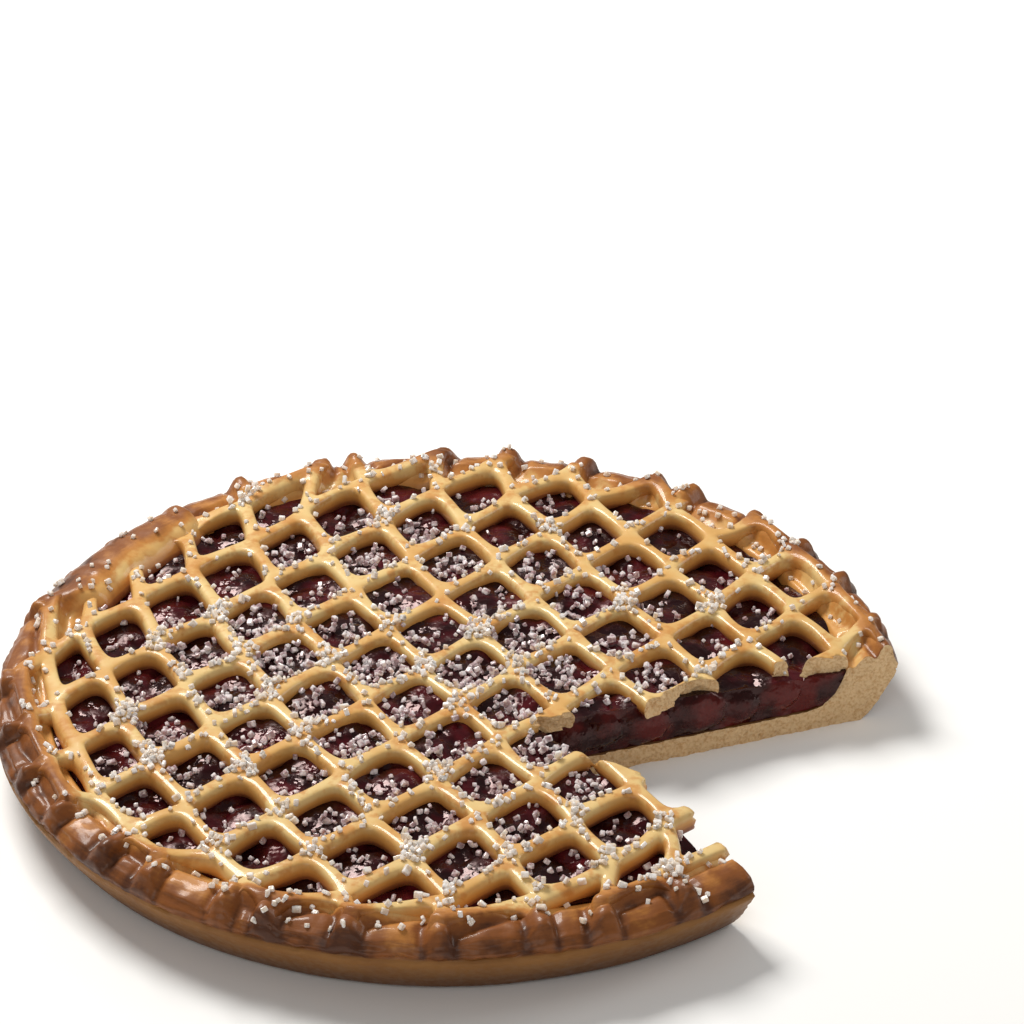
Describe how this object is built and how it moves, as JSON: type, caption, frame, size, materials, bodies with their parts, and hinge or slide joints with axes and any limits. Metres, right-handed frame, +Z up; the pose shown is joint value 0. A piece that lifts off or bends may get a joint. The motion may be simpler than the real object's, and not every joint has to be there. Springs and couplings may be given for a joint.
{
  "type": "cherry flan",
  "caption": "Round cherry flan: a low yeast-dough shell with cherry filling under an open net of dough and coarse sugar, one wedge cut out.",
  "frame": {"origin": "centre of the flan's round base, on the surface it stands on", "axes": "+Z up out of the filling; +X and +Y lie in the base, the cut-out wedge opens between +X and -Y"},
  "size_m": [0.2882, 0.2888, 0.0295],
  "materials": {
    "baked_shell": "baked yeast dough, egg-washed brown on the rim, matt on the wall, pale crumb where cut",
    "cherry_filling": "wet dark red cherries in glaze",
    "baked_net": "pale golden dough with egg-wash shine and white sugar grains"
  },
  "bodies": {
    "root": {"crust_shell": "baked_shell", "cherry_filling": "cherry_filling", "lattice_top": "baked_net"}
  },
  "joints": []
}
